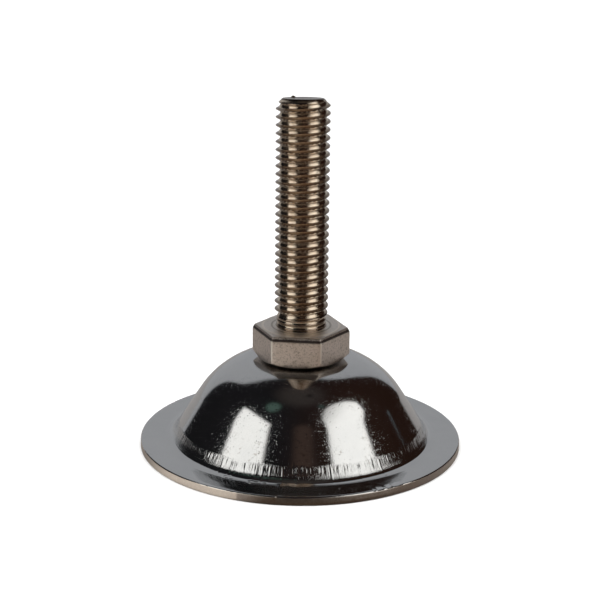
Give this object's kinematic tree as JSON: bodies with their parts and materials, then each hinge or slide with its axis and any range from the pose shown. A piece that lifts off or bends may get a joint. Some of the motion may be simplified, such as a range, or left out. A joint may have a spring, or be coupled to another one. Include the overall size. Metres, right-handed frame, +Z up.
{
  "type": "furniture leveling foot",
  "caption": "Metal furniture leveling foot: a threaded stud with an integral hexagon, riveted to swivel on a domed round sheet-metal base with a flat flange.",
  "frame": {"origin": "centre of the base's underside, on the floor, on the stud's axis", "axes": "+Z up along the stud, -Y towards the front, +X to the right seen from the front"},
  "size_m": [0.06, 0.06, 0.0664],
  "materials": {
    "plated_steel": "bright plated, mirror",
    "satin_steel": "satin, slightly warm",
    "washer_steel": "satin"
  },
  "bodies": {
    "base": {"dome_base": "plated_steel"},
    "washer": {"retaining_washer": "washer_steel"},
    "stem": {"threaded_stem": "satin_steel"}
  },
  "joints": [
    {"name": "swivel", "type": "hinge", "parent": "base", "child": "washer", "pos_m": [0, 0, 0.01615], "axis": [0, 0, 1], "continuous": true},
    {"name": "lean", "type": "hinge", "parent": "washer", "child": "stem", "pos_m": [0, 0, 0.01615], "axis": [0, 1, 0], "range_deg": [-1.5, 1.5]}
  ]
}
